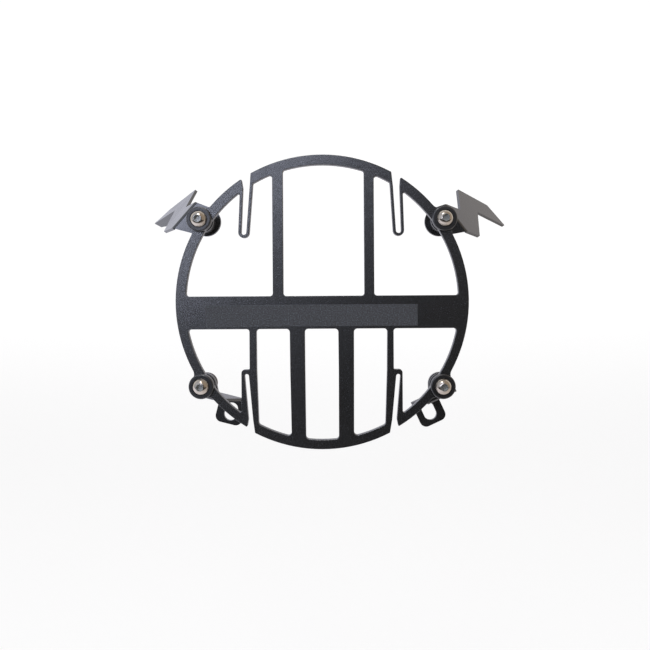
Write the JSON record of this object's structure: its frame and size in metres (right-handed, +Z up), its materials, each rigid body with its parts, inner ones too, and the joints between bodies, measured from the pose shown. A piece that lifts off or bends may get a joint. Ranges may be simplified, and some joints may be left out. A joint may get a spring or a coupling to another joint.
{
  "type": "motorcycle headlight guard",
  "caption": "Flat ring guard with a cross bar and upright bars that stands in front of a round headlight on two zigzag straps and two slotted tabs.",
  "frame": {"origin": "centre of the ring on the plate's front face, on the lamp's axis, with the guard upright as it is fitted", "axes": "+Z up, +X to the right seen from in front, +Y back towards the lamp"},
  "size_m": [0.2868, 0.0909, 0.1909],
  "materials": {
    "textured_coat": "fine-textured black powder coat on 3 mm steel",
    "satin_coat": "smooth satin black-grey coat on 2 mm steel",
    "black_rubber": "satin moulded rubber",
    "black_spacer": "turned black nylon",
    "polished_stainless": "bright stainless steel",
    "plain_stainless": "plain stainless steel"
  },
  "bodies": {
    "root": {"guard_plate": "textured_coat", "screw_upper_left": "polished_stainless", "grommet_upper_left": "black_rubber", "sleeve_upper_left": "plain_stainless", "spacer_upper_left": "black_spacer", "washer_upper_left": "plain_stainless", "nut_upper_left": "polished_stainless", "screw_upper_right": "polished_stainless", "grommet_upper_right": "black_rubber", "sleeve_upper_right": "plain_stainless", "spacer_upper_right": "black_spacer", "washer_upper_right": "plain_stainless", "nut_upper_right": "polished_stainless", "screw_lower_left": "polished_stainless", "grommet_lower_left": "black_rubber", "sleeve_lower_left": "plain_stainless", "spacer_lower_left": "black_spacer", "washer_lower_left": "plain_stainless", "nut_lower_left": "polished_stainless", "screw_lower_right": "polished_stainless", "grommet_lower_right": "black_rubber", "sleeve_lower_right": "plain_stainless", "spacer_lower_right": "black_spacer", "washer_lower_right": "plain_stainless", "nut_lower_right": "polished_stainless", "upper_stay_left": "satin_coat", "lower_stay_left": "satin_coat", "upper_stay_right": "satin_coat", "lower_stay_right": "satin_coat"}
  },
  "joints": []
}
